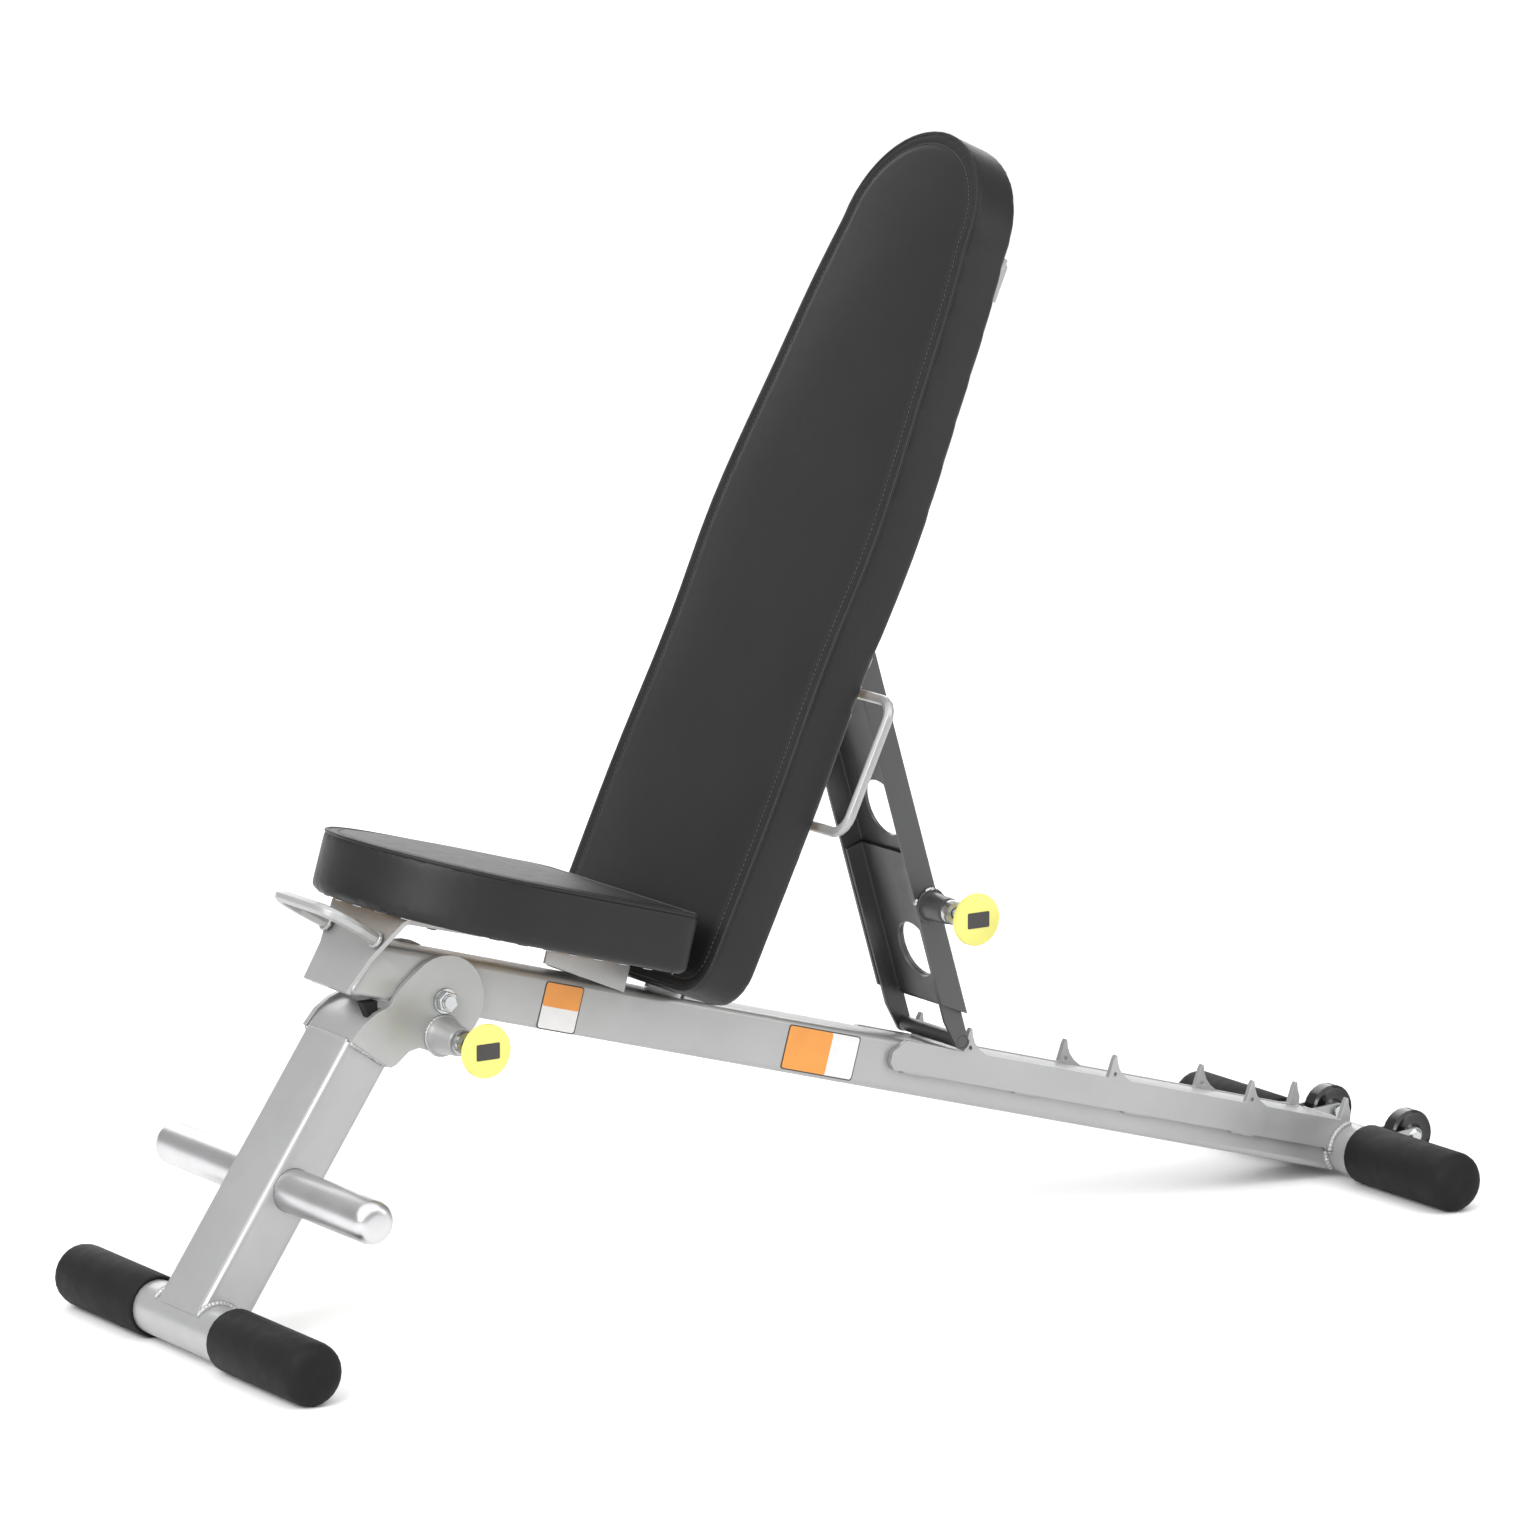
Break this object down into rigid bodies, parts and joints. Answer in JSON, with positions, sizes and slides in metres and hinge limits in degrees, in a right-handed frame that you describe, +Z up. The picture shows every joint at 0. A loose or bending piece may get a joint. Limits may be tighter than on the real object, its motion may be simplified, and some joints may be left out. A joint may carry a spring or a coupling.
{
  "type": "adjustable weight bench",
  "caption": "Adjustable weight bench with a sliding-strut ladder backrest, padded seat, folding front leg, pull pins and transport wheels.",
  "frame": {"origin": "on the floor, under the middle of the bounding box", "axes": "+Z up, +X from the front foot to the wheels, +Y to the left of someone facing the backrest's foot end from the wheels' opposite side"},
  "size_m": [1.3926, 0.443, 1.0621],
  "materials": {
    "silver_paint": "satin powder coat",
    "charcoal_paint": "satin powder coat",
    "chrome": "polished",
    "zinc": "zinc plated",
    "vinyl": "upholstery vinyl, fine grain",
    "rubber": "matte",
    "knob_plastic": "moulded yellow",
    "wheel_plastic": "moulded black",
    "plywood": "plain"
  },
  "bodies": {
    "frame": {"main_beam": "silver_paint", "front_plate": "silver_paint", "seat_handle": "silver_paint", "ladder_plate_left": "silver_paint", "ladder_plate_right": "silver_paint", "leg_lock_plate": "silver_paint", "seat_bracket": "silver_paint", "seat_board": "plywood", "seat_pad": "vinyl", "seat_screw_front": "zinc", "seat_screw_rear": "zinc", "hinge_lug_left": "silver_paint", "hinge_lug_right": "silver_paint", "rear_foot_tube": "silver_paint", "rear_cap_left": "rubber", "rear_cap_right": "rubber", "wheel_bracket_left": "silver_paint", "wheel_bracket_right": "silver_paint", "wheel_axle_left": "zinc", "wheel_axle_right": "zinc", "leg_pivot_bolt": "zinc", "back_hinge_bolt": "zinc"},
    "leg": {"leg_tube": "silver_paint", "leg_ear_left": "silver_paint", "leg_ear_right": "silver_paint", "leg_saddle": "silver_paint", "front_foot_tube": "silver_paint", "front_cap_left": "rubber", "front_cap_right": "rubber", "plate_peg": "chrome", "leg_pin_housing": "zinc", "leg_pin_spring": "zinc"},
    "leg_pin": {"leg_pin_plunger": "chrome", "leg_pin_knob": "knob_plastic"},
    "back": {"back_board": "plywood", "back_pad": "vinyl", "back_spine": "silver_paint", "upper_bracket_left": "silver_paint", "upper_bracket_right": "silver_paint", "lower_bracket_left": "silver_paint", "lower_bracket_right": "silver_paint", "back_handle": "silver_paint", "strut_pivot_bolt": "zinc"},
    "strut": {"strut_outer": "charcoal_paint", "strut_pin_housing": "zinc", "strut_pin_spring": "zinc", "strut_spacer_left": "zinc", "strut_spacer_right": "zinc"},
    "strut_slider": {"strut_slider": "charcoal_paint", "cross_rod": "charcoal_paint"},
    "strut_pin": {"strut_pin_plunger": "chrome", "strut_pin_knob": "knob_plastic"},
    "wheel_left": {"wheel_left": "wheel_plastic"},
    "wheel_right": {"wheel_right": "wheel_plastic"}
  },
  "joints": [
    {"name": "leg_fold", "type": "hinge", "parent": "frame", "child": "leg", "pos_m": [-0.42785, 0, 0.307], "axis": [0, -1, 0], "range_deg": [0, 107]},
    {"name": "leg_pin_pull", "type": "slide", "parent": "leg", "child": "leg_pin", "axis": [0, -1, 0], "range_m": [0, 0.012], "stiffness_N_per_m": 600, "springref_m": -0.012},
    {"name": "back_recline", "type": "hinge", "parent": "frame", "child": "back", "pos_m": [-0.13731, 0, 0.29048], "axis": [0, 1, 0], "range_deg": [0, 61]},
    {"name": "strut_swing", "type": "hinge", "parent": "back", "child": "strut", "pos_m": [0.0184, 0, 0.61984], "axis": [0, -1, 0], "range_deg": [0, 103]},
    {"name": "strut_extend", "type": "slide", "parent": "strut", "child": "strut_slider", "axis": [-0.2872, 0, 0.9579], "range_m": [0, 0.028]},
    {"name": "strut_pin_pull", "type": "slide", "parent": "strut", "child": "strut_pin", "axis": [0, -1, 0], "range_m": [0, 0.012], "stiffness_N_per_m": 600, "springref_m": -0.012},
    {"name": "wheel_left_spin", "type": "hinge", "parent": "frame", "child": "wheel_left", "pos_m": [0.67135, 0.064, 0.0417], "axis": [0, 1, 0], "continuous": true},
    {"name": "wheel_right_spin", "type": "hinge", "parent": "frame", "child": "wheel_right", "pos_m": [0.67135, -0.064, 0.0417], "axis": [0, 1, 0], "continuous": true}
  ],
  "couplings": [
    {"joint": "strut_swing", "follows": "back_recline", "ratio": 1.67}
  ]
}
